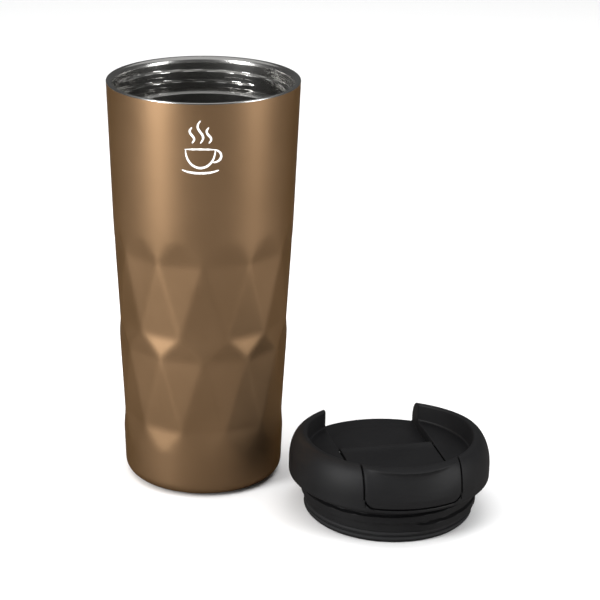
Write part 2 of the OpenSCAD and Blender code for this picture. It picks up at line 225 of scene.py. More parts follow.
def turned(outline, columns, centre=(0, 0), start=0, radius_at=None):
    """Outline of (radius, height) turned about a vertical axis. Angle 0 faces the front."""
    skin = Skin()
    outlines = []
    for k in range(columns):
        angle = math.radians(start + 360 * k / columns)
        column = []
        for r, z in outline:
            r = radius_at(r, z, math.degrees(angle)) if radius_at else r
            column.append((centre[0] + r * math.sin(angle), centre[1] - r * math.cos(angle), z))
        outlines.append(column)
    closed = outline[0][0] > 0 or outline[-1][0] > 0
    skin.loft(outlines, closed_outline=closed)
    return skin


LID = (LID_X, LID_Y)

# %% [markdown]
# ## Finishes
#
# Eight finishes cover the object: satin bronze lacquer over brushed steel, the liner's
# polished steel, brushed steel for the hidden parts, grained black plastic, matte silicone,
# white ink, copper foil and a sintered metal. Two effects are shared. Fine lines run round
# every drawn or brushed piece, and a fine grain covers what was moulded. Both are node
# groups that only hand out values, and the shader stays in each material. The lines read
# the object's own coordinates, far finer along the height than round the body, so there is
# no seam.

# %% Shared effects
def new_group(name, inputs, outputs):
    group = bpy.data.node_groups.new(name, "ShaderNodeTree")
    for label, kind, value in inputs:
        socket = group.interface.new_socket(label, in_out="INPUT", socket_type=kind)
        if value is not None:
            socket.default_value = value
    for label, kind in outputs:
        group.interface.new_socket(label, in_out="OUTPUT", socket_type=kind)
    return group, group.nodes.new("NodeGroupInput"), group.nodes.new("NodeGroupOutput")


def brushed_lines():
    """Fine level lines round the upright axis, and a slow drift of tone."""
    group, given, result = new_group(
        "brushed_lines",
        [("Vector", "NodeSocketVector", None), ("Lines per metre", "NodeSocketFloat", 4200.0)],
        [("Height", "NodeSocketFloat"), ("Drift", "NodeSocketFloat")],
    )
    nodes, links = group.nodes, group.links
    stretch = nodes.new("ShaderNodeCombineXYZ")
    stretch.inputs["X"].default_value = 22
    stretch.inputs["Y"].default_value = 22
    scaled = nodes.new("ShaderNodeVectorMath")
    scaled.operation = "MULTIPLY"
    lines = nodes.new("ShaderNodeTexNoise")
    lines.inputs["Scale"].default_value = 1
    lines.inputs["Detail"].default_value = 2
    drift = nodes.new("ShaderNodeTexNoise")
    drift.inputs["Scale"].default_value = 28
    drift.inputs["Detail"].default_value = 3
    links.new(given.outputs["Lines per metre"], stretch.inputs["Z"])
    links.new(given.outputs["Vector"], scaled.inputs[0])
    links.new(stretch.outputs["Vector"], scaled.inputs[1])
    links.new(scaled.outputs["Vector"], lines.inputs["Vector"])
    links.new(given.outputs["Vector"], drift.inputs["Vector"])
    links.new(lines.outputs["Fac"], result.inputs["Height"])
    links.new(drift.outputs["Fac"], result.inputs["Drift"])
    return group


def moulded_grain():
    """The pebbled grain of a spark-eroded mould, and the dull patches of handling."""
    group, given, result = new_group(
        "moulded_grain",
        [("Vector", "NodeSocketVector", None), ("Grains per metre", "NodeSocketFloat", 3600.0)],
        [("Height", "NodeSocketFloat"), ("Handling", "NodeSocketFloat")],
    )
    nodes, links = group.nodes, group.links
    grain = nodes.new("ShaderNodeTexNoise")
    grain.inputs["Detail"].default_value = 3
    grain.inputs["Roughness"].default_value = 0.6
    handling = nodes.new("ShaderNodeTexNoise")
    handling.inputs["Scale"].default_value = 45
    handling.inputs["Detail"].default_value = 4
    links.new(given.outputs["Vector"], grain.inputs["Vector"])
    links.new(given.outputs["Grains per metre"], grain.inputs["Scale"])
    links.new(given.outputs["Vector"], handling.inputs["Vector"])
    links.new(grain.outputs["Fac"], result.inputs["Height"])
    links.new(handling.outputs["Fac"], result.inputs["Handling"])
    return group


LINES = brushed_lines()
GRAIN = moulded_grain()
EFFECT_LOW = 0.3
EFFECT_HIGH = 0.7
print("shared effects:", LINES.name, "and", GRAIN.name)

# %% Helper that lays out one finish
def finish_from(name, group, per_metre, colours, roughness, bump, plain):
    """A Principled finish whose colour, roughness and bump follow a shared effect.

    colours and roughness are the values at the effect's low and high end, bump is the
    (strength, distance in millimetres) of the relief, and plain holds the other values."""
    material = bpy.data.materials.new(name)
    material.use_nodes = True
    nodes, links = material.node_tree.nodes, material.node_tree.links
    shader = nodes["Principled BSDF"]
    for label, value in plain.items():
        shader.inputs[label].default_value = value
    place = nodes.new("ShaderNodeTexCoord")
    effect = nodes.new("ShaderNodeGroup")
    effect.node_tree = group
    effect.inputs[1].default_value = per_metre
    tint = nodes.new("ShaderNodeMapRange")
    tint.data_type = "FLOAT_VECTOR"
    tint.inputs[7].default_value = (EFFECT_LOW,) * 3
    tint.inputs[8].default_value = (EFFECT_HIGH,) * 3
    tint.inputs[9].default_value = colours[0]
    tint.inputs[10].default_value = colours[1]
    dullness = nodes.new("ShaderNodeMapRange")
    dullness.inputs["From Min"].default_value = EFFECT_LOW
    dullness.inputs["From Max"].default_value = EFFECT_HIGH
    dullness.inputs["To Min"].default_value = roughness[0]
    dullness.inputs["To Max"].default_value = roughness[1]
    relief = nodes.new("ShaderNodeBump")
    relief.inputs["Strength"].default_value = bump[0]
    relief.inputs["Distance"].default_value = bump[1] * MM
    links.new(place.outputs["Object"], effect.inputs[0])
    links.new(effect.outputs[1], tint.inputs[6])
    links.new(tint.outputs[1], shader.inputs["Base Color"])
    links.new(effect.outputs[1], dullness.inputs["Value"])
    links.new(dullness.outputs["Result"], shader.inputs["Roughness"])
    links.new(effect.outputs[0], relief.inputs["Height"])
    links.new(relief.outputs["Normal"], shader.inputs["Normal"])
    print("finish:", name)
    return material


# %% The finishes
bronze = finish_from(
    "bronze_lacquer", LINES, 4200, [(0.355, 0.222, 0.120), (0.385, 0.243, 0.135)], (0.38, 0.44),
    (0.25, 0.02), {"Metallic": 0.94, "Specular Tint": (0.42, 0.32, 0.22, 1)},
)
steel = finish_from(
    "polished_steel", LINES, 5200, [(0.52, 0.515, 0.50), (0.58, 0.575, 0.56)], (0.19, 0.25),
    (0.05, 0.01), {"Metallic": 1.0},
)
brushed_steel = finish_from(
    "brushed_steel", LINES, 3800, [(0.56, 0.56, 0.57), (0.63, 0.63, 0.63)], (0.28, 0.38),
    (0.3, 0.02), {"Metallic": 1.0},
)
plastic = finish_from(
    "grained_plastic", GRAIN, 3600, [(0.0065, 0.0065, 0.007), (0.009, 0.009, 0.0095)],
    (0.46, 0.56), (0.2, 0.03), {"Specular IOR Level": 0.17},
)
silicone = finish_from(
    "matte_silicone", GRAIN, 5200, [(0.009, 0.009, 0.0095), (0.012, 0.012, 0.013)], (0.62, 0.74),
    (0.15, 0.02), {"Specular IOR Level": 0.26},
)
white_ink = finish_from(
    "white_ink", GRAIN, 2400, [(0.80, 0.79, 0.75), (0.88, 0.87, 0.84)], (0.5, 0.62),
    (0.1, 0.01), {},
)
copper_foil = finish_from(
    "copper_foil", GRAIN, 240, [(0.72, 0.42, 0.28), (0.80, 0.50, 0.34)], (0.2, 0.32),
    (0.5, 0.1), {"Metallic": 1.0},
)
getter_metal = finish_from(
    "sintered_metal", GRAIN, 2600, [(0.14, 0.14, 0.14), (0.22, 0.22, 0.21)], (0.6, 0.75),
    (0.5, 0.05), {"Metallic": 0.7},
)

# %% [markdown]
# ## The bronze shell
#
# The shell is a drawn steel tube, tapered and then pressed outwards in a mould that has a
# band of flat triangles. It could be modelled facet by facet, but the band follows one rule.
# Rows of corners lie on the taper, and each row is turned half a column against the next.
# Between two rows the wall is the nearest of two families of flats. So the plain tube is
# turned first, and a node tree presses the rule into it. Blurring the pressed depth gives
# the soft edges that sheet metal has. The corners fall on the tube's own grid of points.

# %% Turn the plain tube
TAPER_SLOPE = 0.036
RIM_R = shell_high[0] + (LIP_TOP - SHELL_TOP) * TAPER_SLOPE
BASE_R = 34.3
SHELL_T = 0.8
FOOT_EDGE_R = 5.0
COLUMNS = 12
FACET_TURN = -10.5
EDGE_SOFTNESS = 7
ROW_TALL = 33.0
ROW_SHORT = 10.1
TOP_ROW = 106.7
ROWS = [TOP_ROW + ROW_SHORT]
for drop in (ROW_SHORT, ROW_TALL, ROW_SHORT, ROW_TALL, ROW_SHORT):
    ROWS.append(ROWS[-1] - drop)


def taper_r(z):
    return BASE_R + (RIM_R - BASE_R) * z / LIP_TOP


def shell_outline():
    foot_z = shell_low[2]
    pad_r = pad_high[0]
    edge_z = foot_z + FOOT_EDGE_R
    edge_x = taper_r(edge_z) - FOOT_EDGE_R
    sag = taper_r(TOP_ROW) * (1 - math.cos(math.pi / COLUMNS)) + 0.1
    outline = [(pad_r, foot_z + SHELL_T), (pad_r, foot_z + 0.25), (pad_r + 0.25, foot_z)]
    outline += arc(edge_x, edge_z, FOOT_EDGE_R, FOOT_EDGE_R, -88, 0, 12)
    heights = spread(edge_z + 1, ROWS[-1] - 5, 8)
    heights += spread(ROWS[-1] - 4, ROWS[-1], 6)
    for low, high in zip(ROWS[::-1], ROWS[-2::-1]):
        heights += spread(low, high, round((high - low) / 0.75))[1:]
    heights += spread(ROWS[0] + 0.75, ROWS[0] + 6, 7)
    heights += spread(ROWS[0] + 8, SHELL_TOP, 14)
    outline += [(taper_r(z), z) for z in heights]
    outline += [(taper_r(z) - SHELL_T, z) for z in spread(SHELL_TOP, ROWS[0] + 4, 4)]
    outline += [(taper_r(z) - SHELL_T - sag, z) for z in spread(ROWS[0], ROWS[-1], 8)]
    outline += arc(edge_x, edge_z, FOOT_EDGE_R - SHELL_T, FOOT_EDGE_R - SHELL_T, 0, -90, 8)
    return outline


shell_skin = turned(shell_outline(), COLUMNS * 30, start=FACET_TURN)
print("facet rows at", [round(z, 1) for z in ROWS])

# %% The node tree that presses the facets
class Rule:
    """Short words for the nodes of one geometry tree."""

    def __init__(self, tree):
        self.tree = tree

    def link(self, source, target):
        if isinstance(source, (int, float)):
            target.default_value = source
        else:
            self.tree.links.new(source, target)

    def math(self, operation, a, b=None, c=None):
        node = self.tree.nodes.new("ShaderNodeMath")
        node.operation = operation
        for socket, value in zip(node.inputs, (a, b, c)):
            if value is not None:
                self.link(value, socket)
        return node.outputs[0]

    def share(self, value, low, high):
        """0 at low and 1 at high, held at both ends."""
        node = self.tree.nodes.new("ShaderNodeMapRange")
        self.link(value, node.inputs["Value"])
        self.link(low, node.inputs["From Min"])
        self.link(high, node.inputs["From Max"])
        return node.outputs["Result"]

    def choose(self, test, if_false, if_true):
        node = self.tree.nodes.new("GeometryNodeSwitch")
        node.input_type = "FLOAT"
        self.link(test, node.inputs["Switch"])
        self.link(if_false, node.inputs["False"])
        self.link(if_true, node.inputs["True"])
        return node.outputs[0]


def press_facets_tree():
    tree = bpy.data.node_groups.new("press_facets", "GeometryNodeTree")
    inputs = {}
    for label, kind in (
        ("Tube", "NodeSocketGeometry"), ("Rim radius", "NodeSocketFloat"),
        ("Base radius", "NodeSocketFloat"), ("Body height", "NodeSocketFloat"),
        ("Top row", "NodeSocketFloat"), ("Tall row", "NodeSocketFloat"),
        ("Short row", "NodeSocketFloat"), ("Columns", "NodeSocketInt"),
        ("Turn", "NodeSocketFloat"), ("Edge softness", "NodeSocketInt"),
        ("Finish", "NodeSocketMaterial"),
    ):
        inputs[label] = tree.interface.new_socket(label, in_out="INPUT", socket_type=kind)
    tree.interface.new_socket("Shell", in_out="OUTPUT", socket_type="NodeSocketGeometry")
    given = tree.nodes.new("NodeGroupInput").outputs
    rule = Rule(tree)
    calc = rule.math

    place = tree.nodes.new("ShaderNodeSeparateXYZ")
    tree.links.new(tree.nodes.new("GeometryNodeInputPosition").outputs[0], place.inputs[0])
    x, y, z = place.outputs
    angle = calc("ARCTAN2", x, calc("MULTIPLY", y, -1))
    radius = calc("SQRT", calc("ADD", calc("MULTIPLY", x, x), calc("MULTIPLY", y, y)))
    half = calc("DIVIDE", math.pi, given["Columns"])

    # How far round from the nearest corner of the odd rows, and of the even rows
    turned_angle = calc("SUBTRACT", angle, given["Turn"])
    from_odd = calc("ABSOLUTE", calc("WRAP", turned_angle, half, calc("MULTIPLY", half, -1)))
    from_even = calc("SUBTRACT", half, from_odd)

    # The heights of the six rows, and a wave that is 0 on odd rows and 1 on even ones
    heights = [calc("ADD", given["Top row"], given["Short row"])]
    for label in ("Short row", "Tall row", "Short row", "Tall row", "Short row"):
        heights.append(calc("SUBTRACT", heights[-1], given[label]))
    wave = rule.share(z, heights[1], heights[0])
    for k, sign in ((1, "SUBTRACT"), (2, "ADD"), (3, "SUBTRACT"), (4, "ADD")):
        wave = calc(sign, wave, rule.share(z, heights[k + 1], heights[k]))
    rest = calc("SUBTRACT", 1, wave)

    # Flats that are centred on an odd corner, and on an even one
    dip = calc("SUBTRACT", 1, calc("COSINE", half))
    flat_odd = calc(
        "DIVIDE", calc("SUBTRACT", 1, calc("MULTIPLY", dip, wave)), calc("COSINE", from_odd)
    )
    flat_even = calc(
        "DIVIDE", calc("SUBTRACT", 1, calc("MULTIPLY", dip, rest)), calc("COSINE", from_even)
    )

    # At both ends of the band a flat fades into the round wall through a fan
    def fan(share, other, off_corner):
        slope = calc("DIVIDE", other, calc("MAXIMUM", calc("MULTIPLY", share, 2), 0.001))
        square = calc("MULTIPLY", off_corner, off_corner)
        return calc("SUBTRACT", 1, calc("MULTIPLY", slope, square))

    in_top_fan = calc("LESS_THAN", from_odd, calc("MULTIPLY", wave, half))
    in_low_fan = calc("LESS_THAN", from_even, calc("MULTIPLY", rest, half))
    top_end = rule.choose(in_top_fan, flat_even, fan(wave, rest, from_odd))
    low_end = rule.choose(in_low_fan, flat_odd, fan(rest, wave, from_even))
    value = rule.choose(
        calc("LESS_THAN", z, heights[4]), calc("MINIMUM", flat_odd, flat_even), low_end
    )
    value = rule.choose(calc("GREATER_THAN", z, heights[1]), value, top_end)

    # The pressed depth, on the outer wall only, then blurred
    widen = calc("SUBTRACT", given["Rim radius"], given["Base radius"])
    climb = calc("DIVIDE", z, given["Body height"])
    taper = calc("ADD", given["Base radius"], calc("MULTIPLY", widen, climb))
    on_wall = calc("GREATER_THAN", radius, calc("SUBTRACT", taper, 0.0002))
    depth = calc("MULTIPLY", calc("MULTIPLY", calc("SUBTRACT", 1, value), taper), on_wall)
    blur = tree.nodes.new("GeometryNodeBlurAttribute")
    blur.data_type = "FLOAT"
    rule.link(depth, blur.inputs[0])
    rule.link(given["Edge softness"], blur.inputs["Iterations"])
    inwards = calc("DIVIDE", calc("MULTIPLY", blur.outputs[0], -1), radius)
    offset = tree.nodes.new("ShaderNodeCombineXYZ")
    rule.link(calc("MULTIPLY", x, inwards), offset.inputs[0])
    rule.link(calc("MULTIPLY", y, inwards), offset.inputs[1])

    moved = tree.nodes.new("GeometryNodeSetPosition")
    real = tree.nodes.new("GeometryNodeRealizeInstances")
    coloured = tree.nodes.new("GeometryNodeSetMaterial")
    result = tree.nodes.new("NodeGroupOutput")
    tree.links.new(given["Tube"], moved.inputs["Geometry"])
    tree.links.new(offset.outputs[0], moved.inputs["Offset"])
    tree.links.new(moved.outputs[0], real.inputs[0])
    tree.links.new(real.outputs[0], coloured.inputs["Geometry"])
    tree.links.new(given["Finish"], coloured.inputs["Material"])
    tree.links.new(coloured.outputs[0], result.inputs[0])
    print("press_facets:", len(tree.nodes), "nodes")
    return tree, {label: socket.identifier for label, socket in inputs.items()}


# %% Press the facets into the shell
def settle(thing):
    """The modifiers' result as the object's own plain mesh."""
    seen = bpy.context.evaluated_depsgraph_get()
    mesh = bpy.data.meshes.new_from_object(thing.evaluated_get(seen), depsgraph=seen)
    thing.modifiers.clear()
    thing.data = mesh


def press_shell():
    shell = plain_object("bronze_shell", shell_skin)
    tree, sockets = press_facets_tree()
    press = shell.modifiers.new("press_facets", "NODES")
    press.node_group = tree
    sizes = {
        "Rim radius": RIM_R * MM, "Base radius": BASE_R * MM, "Body height": LIP_TOP * MM,
        "Top row": TOP_ROW * MM, "Tall row": ROW_TALL * MM, "Short row": ROW_SHORT * MM,
        "Columns": COLUMNS, "Turn": math.radians(FACET_TURN), "Edge softness": EDGE_SOFTNESS,
        "Finish": bronze,
    }
    for label, value in sizes.items():
        press[sockets[label]] = value
    settle(shell)
    shell.data.shade_smooth()
    shell.data.set_sharp_from_angle(angle=math.radians(50))
    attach(shell, "tumbler")
    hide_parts("outer_shell")
    print("bronze_shell:", len(shell.data.polygons), "faces")


press_shell()

# %% [markdown]
# ## The steel liner and the mouth
#
# The liner is spun from one steel blank: a lip that rolls over the shell's edge, a flare, a
# wide neck with a rolled thread, a sloping seat for the lid's band, and a long taper down to
# a rounded floor. Turning one closed outline gives all of it. The thread is not a separate
# ridge: it is rolled into the wall, so the neck's points are pulled in along a helix. The
# ridge has a flat crest and short, steep flanks, and it fades out at both ends.

# %% Turn the liner
LIP_W = 3.05
LIP_EDGE_R = 0.5
NECK_R = RIM_R - LIP_W
FLARE = 2.6
FLARE_W = 2.2
NECK_FOOT = LIP_TOP - 13.4
SEAT_FOOT = NECK_FOOT - 2.0
THROAT_R = NECK_R - 3.0
THROAT_FOOT = SEAT_FOOT - 6.0
THREAD_H = 1.6
THREAD_PITCH = 4.6
THREAD_HALF_W = 1.45
THREAD_FLANK = 0.5
NECK_THREAD_START = 133
NECK_THREAD_TURNS = 1.3
NECK_THREAD_Z = NECK_FOOT + 1.4
LINER_FLOOR = floor_high[2]
LINER_T = 0.8
LINER_CORNER_R = 7.0
LINER_FOOT_R = floor_high[0] + LINER_CORNER_R


def soft_step(value):
    """0 below 0, 1 above 1, and a soft rise between."""
    t = min(1, max(0, value))
    return 3 * t**2 - 2 * t**3


def thread_height(angle, z, first_z, start, turns, half_w, fade=10):
    """Height of a thread at an angle and height, with a flat crest and soft ends."""
    height = 0
    along = (angle - start) % 360
    while along <= turns * 360:
        off = abs(z - first_z - THREAD_PITCH * along / 360)
        ends = soft_step(min(along, turns * 360 - along) / fade)
        height = max(height, THREAD_H * soft_step((half_w - off) / THREAD_FLANK) * ends)
        along += 360
    return height


def liner_outline():
    flange_z = SHELL_TOP
    lip_r = taper_r(flange_z)
    corner_z = LINER_FLOOR + LINER_CORNER_R
    outline = [(lip_r, flange_z)]
    outline += arc(lip_r - LIP_EDGE_R, LIP_TOP - LIP_EDGE_R, LIP_EDGE_R, LIP_EDGE_R, 0, 90, 8)
    outline += arc(NECK_R + FLARE_W, LIP_TOP - FLARE, FLARE_W, FLARE, 90, 180, 14)
    outline += [(NECK_R, z) for z in spread(LIP_TOP - FLARE - 0.2, NECK_FOOT, 54)]
    outline += [(THROAT_R, SEAT_FOOT), (THROAT_R, THROAT_FOOT)]
    foot_r = LINER_FOOT_R + 0.25
    outline += arc(foot_r - LINER_CORNER_R, corner_z, LINER_CORNER_R, LINER_CORNER_R, 0, -90, 12)
    outline += [(foot_r * 0.4, LINER_FLOOR), (0, LINER_FLOOR), (0, LINER_FLOOR - LINER_T)]
    outer = LINER_CORNER_R + LINER_T
    outline += arc(foot_r - LINER_CORNER_R, corner_z, outer, outer, -90, 0, 10)
    outline += [(THROAT_R + LINER_T, THROAT_FOOT), (THROAT_R + LINER_T, SEAT_FOOT - 0.4)]
    outline += [(NECK_R + LINER_T, NECK_FOOT - 0.4), (NECK_R + LINER_T, flange_z)]
    return outline


def neck_radius(r, z, angle):
    in_neck = abs(r - NECK_R) < 0.001 and z < LIP_TOP - FLARE
    if not in_neck:
        return r
    return r - thread_height(
        angle, z, NECK_THREAD_Z, NECK_THREAD_START, NECK_THREAD_TURNS, THREAD_HALF_W
    )


liner_skin = turned(liner_outline(), 240, radius_at=neck_radius)
as_piece(
    "steel_liner", liner_skin, "tumbler", ["inner_liner", "liner_floor"], steel, 50
)

# %% [markdown]
# ## The foot pad
#
# A silicone disc is glued into the shell's foot, so that the cup doesn't slide or ring on a
# table. Shallow rings on its underside grip and let it flex, and they are part of its
# outline.

# %% Turn the foot pad
def pad_outline():
    pad_r = pad_high[0]
    groove = 0.25
    outline = [(0, 0)]
    for ring_r in (8, 13, 18, 23):
        outline += [(ring_r - 1, 0), (ring_r - 0.7, groove)]
        outline += [(ring_r + 0.7, groove), (ring_r + 1, 0)]
    outline += arc(pad_r - 0.4, 0.4, 0.4, 0.4, -90, 0, 5)
    return outline + [(pad_r, pad_high[2]), (0, pad_high[2])]


as_piece(
    "foot_pad_ribbed", turned(pad_outline(), 128), "tumbler", ["foot_pad"], silicone
)

# %% [markdown]
# ## The printed mark
#
# The front carries a small white print. Here it is a plain drawing of a steaming cup. An ink
# layer is so thin that a bump would do in a render, but a thin ribbon of real mesh also
# shows in a model file. Each stroke is a curve in the flat, wrapped round the taper, with a
# width that swells and thins as a brush's does.

# %% Draw the strokes and wrap them round the body
PRINT_Z = 159.0
INK_W = 0.95
INK_T = 0.05
INK_ROOT = 0.08
THIN_END = 0.35


def wave_stroke(x, low, high, swing):
    steps = 24
    return [
        (x + swing * math.sin(2 * math.pi * i / steps), low + (high - low) * i / steps)
        for i in range(steps + 1)
    ]


def print_strokes():
    """Curves in millimetres, across and up from the middle of the mark."""
    bowl = arc(-1.2, -1.6, 6.0, 7.4, 180, 360, 28)
    brim = [(-7.6, -1.3), (-4.4, -1.15), (-1.2, -1.1), (2.0, -1.15), (5.2, -1.3)]
    handle = arc(4.3, -4.0, 2.9, 2.6, 84, -100, 20)
    saucer = arc(-1.2, -9.0, 8.2, 2.2, 205, 335, 28)
    steam = [
        wave_stroke(-4.6, 1.4, 8.0, 0.9),
        wave_stroke(-1.2, 1.4, 10.8, 1.1),
        wave_stroke(2.2, 1.4, 8.0, 0.9),
    ]
    return [bowl, brim, handle, saucer, *steam]


def add_stroke(skin, points):
    """A ribbon with thin ends, lying on the taper."""
    count = len(points)
    outlines = []
    for i, (across, up) in enumerate(points):
        before = points[max(0, i - 1)]
        after = points[min(count - 1, i + 1)]
        dx, dy = after[0] - before[0], after[1] - before[1]
        length = math.hypot(dx, dy)
        along = i / (count - 1)
        half = INK_W / 2 * (THIN_END + (1 - THIN_END) * math.sin(math.pi * along) ** 0.5)
        ring = []
        for side, lift in ((-1, -0.1), (-1, 0.0), (-0.6, 1), (0.6, 1), (1, 0.0), (1, -0.1)):
            a = across - dy / length * half * side
            z = PRINT_Z + up + dx / length * half * side
            r = taper_r(z) + (INK_T * lift if lift >= 0 else -INK_ROOT)
            angle = math.radians(FACET_TURN) + a / taper_r(z)
            ring.append((r * math.sin(angle), -r * math.cos(angle), z))
        outlines.append(ring)
    skin.loft(outlines, closed_row=False)
    skin.face(outlines[0])
    skin.face(outlines[-1])


mark_skin = Skin()
for stroke in print_strokes():
    add_stroke(mark_skin, stroke)
as_piece("printed_mark", mark_skin, "tumbler", [], white_ink)

# %% [markdown]
# ## The collar of the lid
#
# The collar is a ring with a domed section. A channel as wide as the flap cuts it open at the
# back, and an opening of the same width lets the thumb tab through at the front. Cutting a
# ring with boxes leaves ragged points along the cut, which spoils the rounded edges. So the
# ring is lofted through outlines that are placed by their distance from the channel's side:
# every outline at an end of a wing lies exactly in the plane of the cut. In the two gaps the
# same outline is pressed down to the floor's height. One flat face closes each end.

# %% Sizes of the lid
RING_W = 7.4
COLLAR_H = 17.9
LID_FOOT_Z = COLLAR_TOP - COLLAR_H
DOME_Z = LID_FOOT_Z + 5.2
COLLAR_IN_R = COLLAR_R - RING_W
LIP_R = 0.9
DOME_IN_R = COLLAR_IN_R + LIP_R
PLATFORM_Z = COLLAR_TOP - 9.3
DOME_IN_Z = PLATFORM_Z + 0.8
CHANNEL_Z = PLATFORM_Z - 4.0
DECK_T = 2.0
CHANNEL_HALF = 20.8
FLAP_GAP = 0.5
TAB_CORNER_R = 4.0
TAB_FOOT_Z = flap_low[2]
TAB_IN_R = COLLAR_R - 3.4
DECK_FRONT_R = TAB_IN_R - FLAP_GAP
RING_IN_R = 34.2
REAR_FALL = 1.8
SKIN_GAP = 0.01
print(f"platform {PLATFORM_Z:.2f}, channel floor {CHANNEL_Z:.2f}, tab foot {TAB_FOOT_Z:.2f}")


def dome_point(share):
    """Point of the dome's quarter ellipse, from the wall at 0 to the crest at 1."""
    a = math.pi / 2 * share
    return (
        DOME_IN_R + (COLLAR_R - DOME_IN_R) * math.cos(a),
        DOME_Z + (COLLAR_TOP - DOME_Z) * math.sin(a),
    )


# %% Outline of the collar's ring, and the loft round it
def ring_outline():
    edge = 0.8
    outline = [(RING_IN_R, LID_FOOT_Z), (38.0, LID_FOOT_Z)]
    outline += arc(COLLAR_R - edge, LID_FOOT_Z + edge, edge, edge, -90, 0, 6)
    outline += [(COLLAR_R, z) for z in spread(LID_FOOT_Z + 1, CHANNEL_Z, 6)]
    step_share = math.acos((DECK_FRONT_R - DOME_IN_R) / (COLLAR_R - DOME_IN_R)) / (math.pi / 2)
    cut_rise = (TAB_FOOT_Z + TAB_CORNER_R - DOME_Z) / (COLLAR_TOP - DOME_Z)
    cut_share = math.asin(cut_rise) / (math.pi / 2)
    outline += [dome_point(s) for s in sorted([*spread(0, step_share, 14), cut_share])]
    step_index = len(outline)
    outline += [dome_point(s) for s in spread(step_share, 1, 8)]
    outline += arc(DOME_IN_R, COLLAR_TOP - LIP_R, LIP_R, LIP_R, 90, 180, 6)[1:]
    outline += [(COLLAR_IN_R, DOME_IN_Z)]
    outline += arc(RING_IN_R, DOME_IN_Z, 0.8, 0.8, 0, -90, 5)[1:]
    outline += [(RING_IN_R, CHANNEL_Z)]
    return outline, step_index


RING, STEP_INDEX = ring_outline()


def opening_foot(x):
    """Height of the tab opening's lower edge, which curves up at both sides."""
    corner = TAB_CORNER_R + FLAP_GAP
    off = abs(x) - (CHANNEL_HALF - corner)
    foot = TAB_FOOT_Z - FLAP_GAP
    return foot if off <= 0 else foot + corner - math.sqrt(max(0, corner**2 - off**2))


def gap_outline(x, front):
    """The ring's outline across a gap, pressed down to the floor."""
    points = []
    for i, (r, z) in enumerate(RING):
        limit = opening_foot(x) if front and i < STEP_INDEX else CHANNEL_Z
        y = math.sqrt(r * r - x * x) * (-1 if front else 1)
        points.append((LID_X + x, LID_Y + y, min(z, limit)))
    return points


def wing_outline(side, share):
    """The ring's outline in a wing, from the front cut at 0 to the rear cut at 1."""
    points = []
    for r, z in RING:
        first = math.asin(CHANNEL_HALF / r)
        angle = first + (math.pi - 2 * first) * share
        y = -r * math.cos(angle)
        fall = REAR_FALL * soft_step(y / RING_IN_R)
        z -= fall * max(0, z - DOME_IN_Z) / (COLLAR_TOP - DOME_IN_Z)
        points.append((LID_X + side * r * math.sin(angle), LID_Y + y, z))
    return points


def add_end_wall(skin, full, pressed):
    """One flat face between a wing's last outline and the pressed one in the same plane."""
    apart = [i for i in range(len(full)) if math.dist(full[i], pressed[i]) > 0.001]
    low, high = apart[0] - 1, apart[-1] + 1
    loop = full[low : high + 1] + pressed[low : high + 1][::-1]
    skin.face(loop)
    for i in range(len(full)):
        j = (i + 1) % len(full)
        if j < low or i >= high:
            skin.face([full[i], pressed[i], pressed[j], full[j]])


def corner_stations(half, corner, middle):
    """Distances across a gap, closer together where its corners curve."""
    bend = [half - corner + corner * math.sin(math.radians(a)) for a in range(0, 91, 10)]
    flat = spread(-(half - corner), half - corner, middle)
    return [-x for x in bend[:0:-1]] + flat + bend[1:]


def collar_skin():
    skin = Skin()
    across = corner_stations(CHANNEL_HALF, TAB_CORNER_R + FLAP_GAP, 22)
    shares = spread(0, 1, 60)
    front = [gap_outline(x, True) for x in across]
    right = [wing_outline(1, s) for s in shares]
    rear = [gap_outline(x, False) for x in across[::-1]]
    left = [wing_outline(-1, s) for s in shares[::-1]]
    for row in (front, right, rear, left):
        skin.loft(row, closed_row=False)
    add_end_wall(skin, right[0], front[-1])
    add_end_wall(skin, right[-1], rear[0])
    add_end_wall(skin, left[0], rear[-1])
    add_end_wall(skin, left[-1], front[0])
    return skin


collar = as_piece(
    "collar_ring", collar_skin(), "lid", ["lid_collar"], plastic
)
round_edges(collar, 0.4, from_r=RING_IN_R + 0.4)

# %% [markdown]
# ## The deck and the side platforms
#
# Inside the ring lies a flat deck with the drinking hole and the vent, and on each side a
# raised platform that holds the hinge pin. A flat curve with holes, given a thickness and a
# rounded edge, makes such a plate in one step. The curves are turned into meshes before
# they get their place.

# %% Plates from flat curves
def plate_from(name, loops, low, high, edge):
    """A plate between two heights, from closed loops of (x, y). Inner loops become holes."""
    curve = bpy.data.curves.new(name, "CURVE")
    curve.dimensions = "2D"
    curve.fill_mode = "BOTH"
    curve.extrude = (high - low) / 2 * MM - edge * MM
    curve.bevel_depth = edge * MM
    curve.bevel_resolution = 2
    curve.offset = -edge * MM
    for loop in loops:
        spline = curve.splines.new("POLY")
        spline.points.add(len(loop) - 1)
        for point, (x, y) in zip(spline.points, loop):
            point.co = (x * MM, y * MM, 0, 1)
        spline.use_cyclic_u = True
    shape = bpy.data.objects.new(name, curve)
    bpy.context.scene.collection.objects.link(shape)
    bpy.context.view_layer.update()
    seen = bpy.context.evaluated_depsgraph_get()
    mesh = bpy.data.meshes.new_from_object(shape.evaluated_get(seen), depsgraph=seen)
    bpy.data.objects.remove(shape)
    work = bmesh.new()
    work.from_mesh(mesh)
    bmesh.ops.translate(
        work, verts=work.verts[:], vec=(LID_X * MM, LID_Y * MM, (low + high) / 2 * MM)
    )
    bmesh.ops.remove_doubles(work, verts=work.verts[:], dist=0.002 * MM)
    bmesh.ops.recalc_face_normals(work, faces=work.faces[:])
    work.to_mesh(mesh)
    work.free()
    return mesh


def circle(x, y, r, count=96):
    return [
        (x + r * math.cos(2 * math.pi * k / count), y + r * math.sin(2 * math.pi * k / count))
        for k in range(count)
    ]


